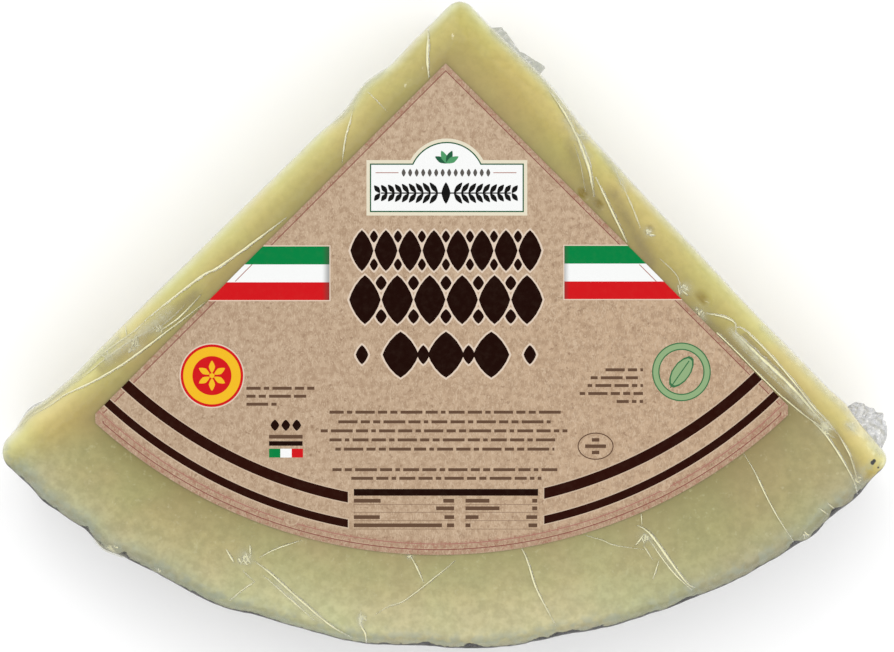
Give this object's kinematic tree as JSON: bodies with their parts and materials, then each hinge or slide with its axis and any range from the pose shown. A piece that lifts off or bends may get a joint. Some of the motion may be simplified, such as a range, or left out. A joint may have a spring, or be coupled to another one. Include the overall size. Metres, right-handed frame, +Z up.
{
  "type": "vacuum-packed hard cheese wedge",
  "caption": "Quarter-wheel slab of hard sheep's-milk cheese in tight clear film, lying flat, with a fan-shaped kraft paper label on its upper face.",
  "frame": {"origin": "middle of the pack's box in plan, on the surface that the slab lies on", "axes": "+Z up, through the slab's thickness; +Y from the curved rind side towards the tip; +X to the right, seen from above with the tip at the top"},
  "size_m": [0.2134, 0.1556, 0.0457],
  "materials": {
    "cheese_in_film": "pale straw-yellow, finely granular cheese paste with a thin black rind on the curved side, seen through tight clear film with glossy folds",
    "label_paper": "matt light-brown kraft paper, printed with plain bands, stripes and simple shapes"
  },
  "bodies": {
    "root": {"pack": "cheese_in_film", "label": "label_paper"}
  },
  "joints": []
}
